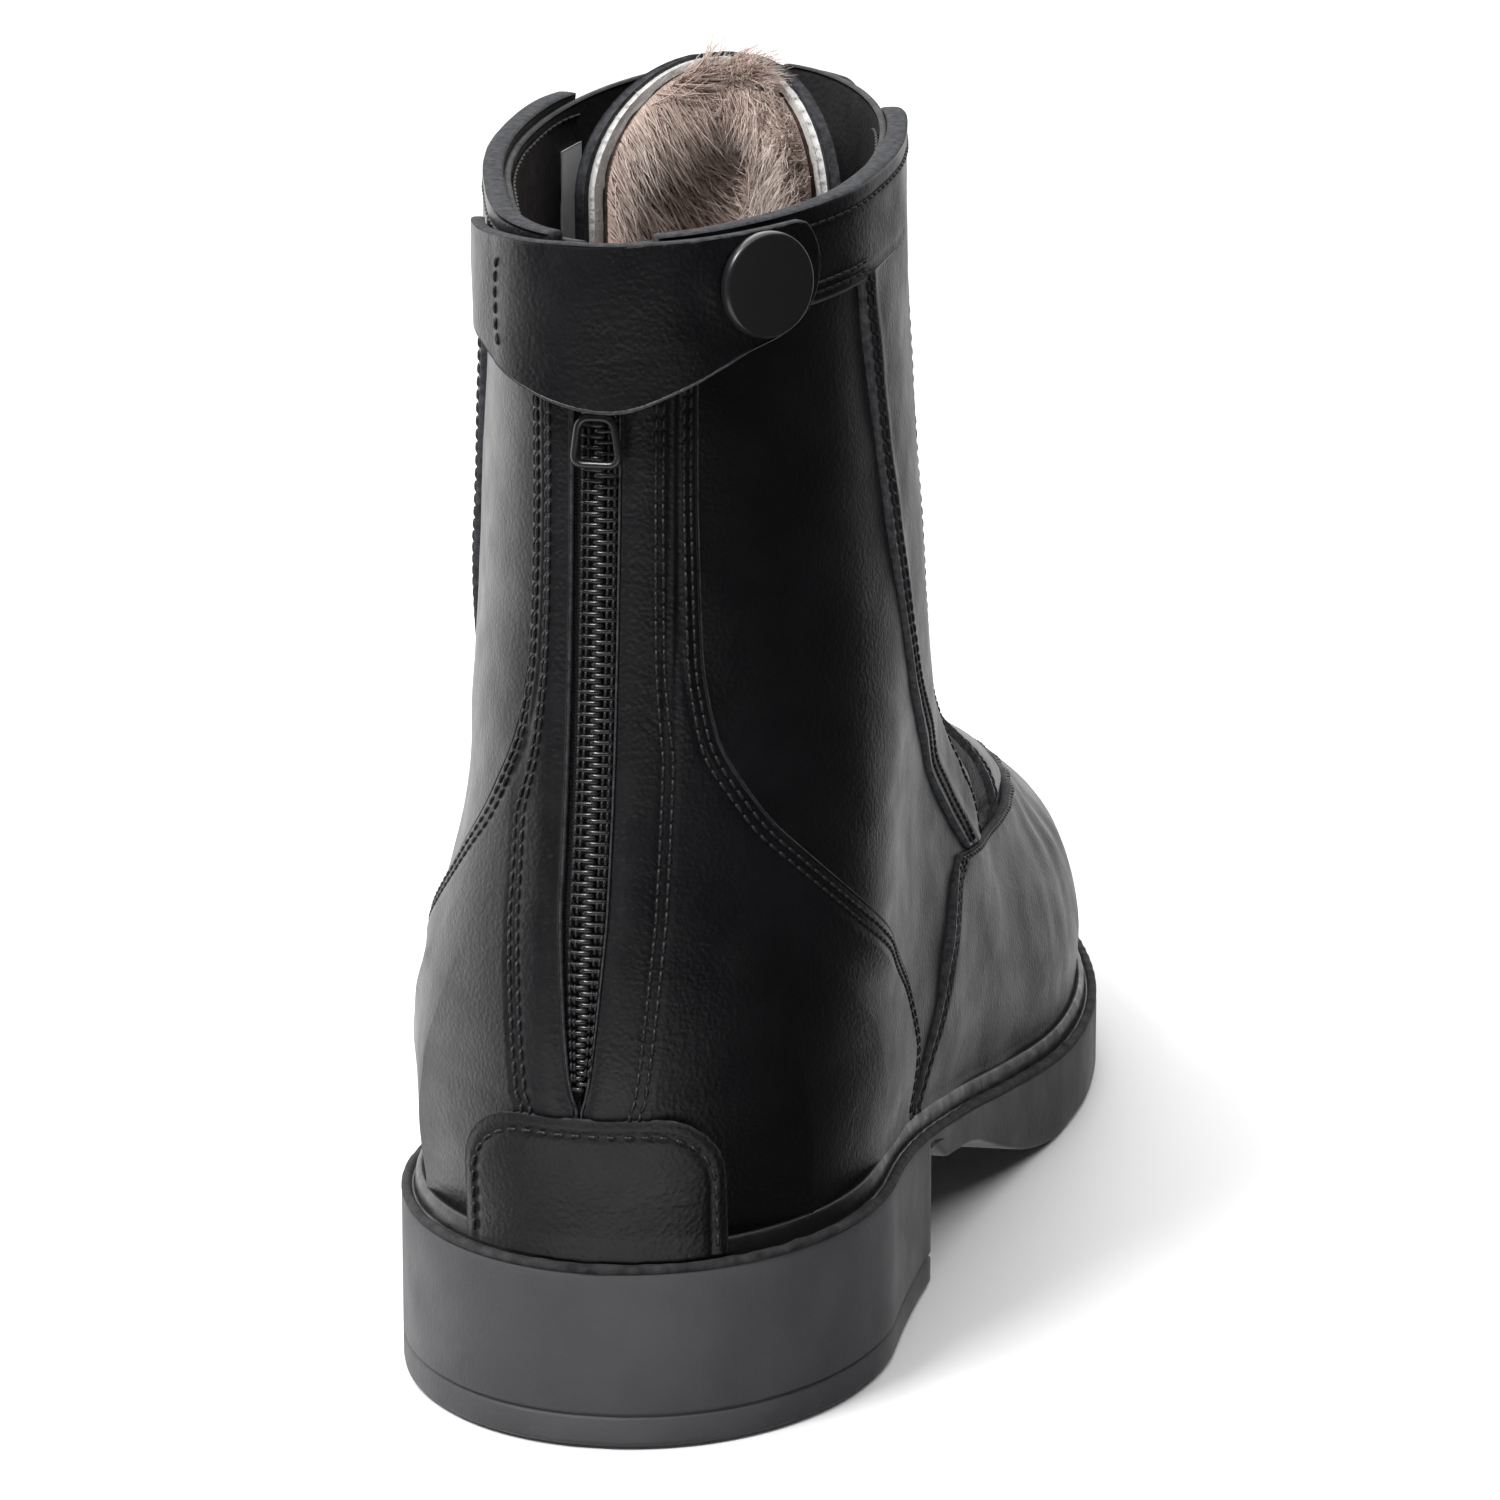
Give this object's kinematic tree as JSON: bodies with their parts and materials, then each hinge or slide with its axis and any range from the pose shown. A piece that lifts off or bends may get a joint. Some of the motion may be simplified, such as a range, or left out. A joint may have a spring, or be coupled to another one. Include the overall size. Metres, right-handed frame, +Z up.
{
  "type": "riding ankle boot",
  "caption": "Right ankle-height riding boot with a back zip, snap strap over the heel seam, elastic side gores, a fur-backed tongue and a low block heel.",
  "frame": {"origin": "middle of the boot's length and width, on the ground under the sole", "axes": "+Z up, the toe towards -Y, the wearer's outer side towards -X"},
  "size_m": [0.0957, 0.2843, 0.1844],
  "materials": {
    "black_leather": "smooth semi-gloss black grain leather",
    "lining_leather": "matte black lining leather",
    "sole_rubber": "matte black moulded rubber with a fine texture",
    "elastic_knit": "black ribbed elastic webbing",
    "fibre_board": "plain fibre board",
    "steel": "plain steel",
    "white_felt": "off-white wool felt",
    "brown_fur": "long taupe-brown lambswool pile",
    "zip_tape": "black woven zip tape",
    "zip_nylon": "black nylon coil",
    "black_lacquer": "satin black lacquered metal"
  },
  "bodies": {
    "boot": {"vamp": "black_leather", "front_panel": "black_leather", "heel_patch": "black_leather", "strap_anchor": "black_leather", "top_lift": "sole_rubber", "heel_block": "sole_rubber", "outsole": "sole_rubber", "welt": "sole_rubber", "insole_board": "fibre_board", "toe_puff": "fibre_board", "heel_stiffener": "fibre_board", "shank": "steel", "snap_stud": "steel", "zip_bottom_stop": "steel", "footbed": "white_felt", "size_label": "white_felt", "vamp_lining": "lining_leather", "counter_lateral": "black_leather", "quarter_lateral": "black_leather", "collar_facing_lateral": "black_leather", "elastic_gore_lateral": "elastic_knit", "shaft_lining_lateral": "lining_leather", "zip_tape_lateral": "zip_tape", "zip_coil_lateral": "zip_nylon", "zip_top_stop_lateral": "steel", "counter_medial": "black_leather", "quarter_medial": "black_leather", "collar_facing_medial": "black_leather", "elastic_gore_medial": "elastic_knit", "shaft_lining_medial": "lining_leather", "zip_tape_medial": "zip_tape", "zip_coil_medial": "zip_nylon", "zip_top_stop_medial": "steel"},
    "strap": {"snap_strap": "black_leather", "snap_cap": "black_lacquer", "snap_socket": "steel"},
    "slider": {"zip_slider": "black_lacquer"},
    "pull": {"zip_pull": "black_lacquer"},
    "tongue": {"tongue_leather": "black_leather", "tongue_felt": "white_felt", "tongue_fur": "brown_fur"}
  },
  "joints": [
    {"name": "strap_swing", "type": "hinge", "parent": "boot", "child": "strap", "pos_m": [0.0213, 0.1205, 0.163], "axis": [0, 0, -1], "range_deg": [0, 100]},
    {"name": "zip_slide", "type": "slide", "parent": "boot", "child": "slider", "axis": [0.0161, 0.0827, -0.9964], "range_m": [0, 0.06]},
    {"name": "pull_swing", "type": "hinge", "parent": "slider", "child": "pull", "pos_m": [0.00324, 0.13185, 0.1454], "axis": [1, 0, 0], "range_deg": [0, 70]},
    {"name": "tongue_tilt", "type": "hinge", "parent": "boot", "child": "tongue", "pos_m": [-0.0004, 0.0405, 0.112], "axis": [-1, 0, 0], "range_deg": [0, 12], "stiffness_Nm_per_rad": 0.15}
  ]
}
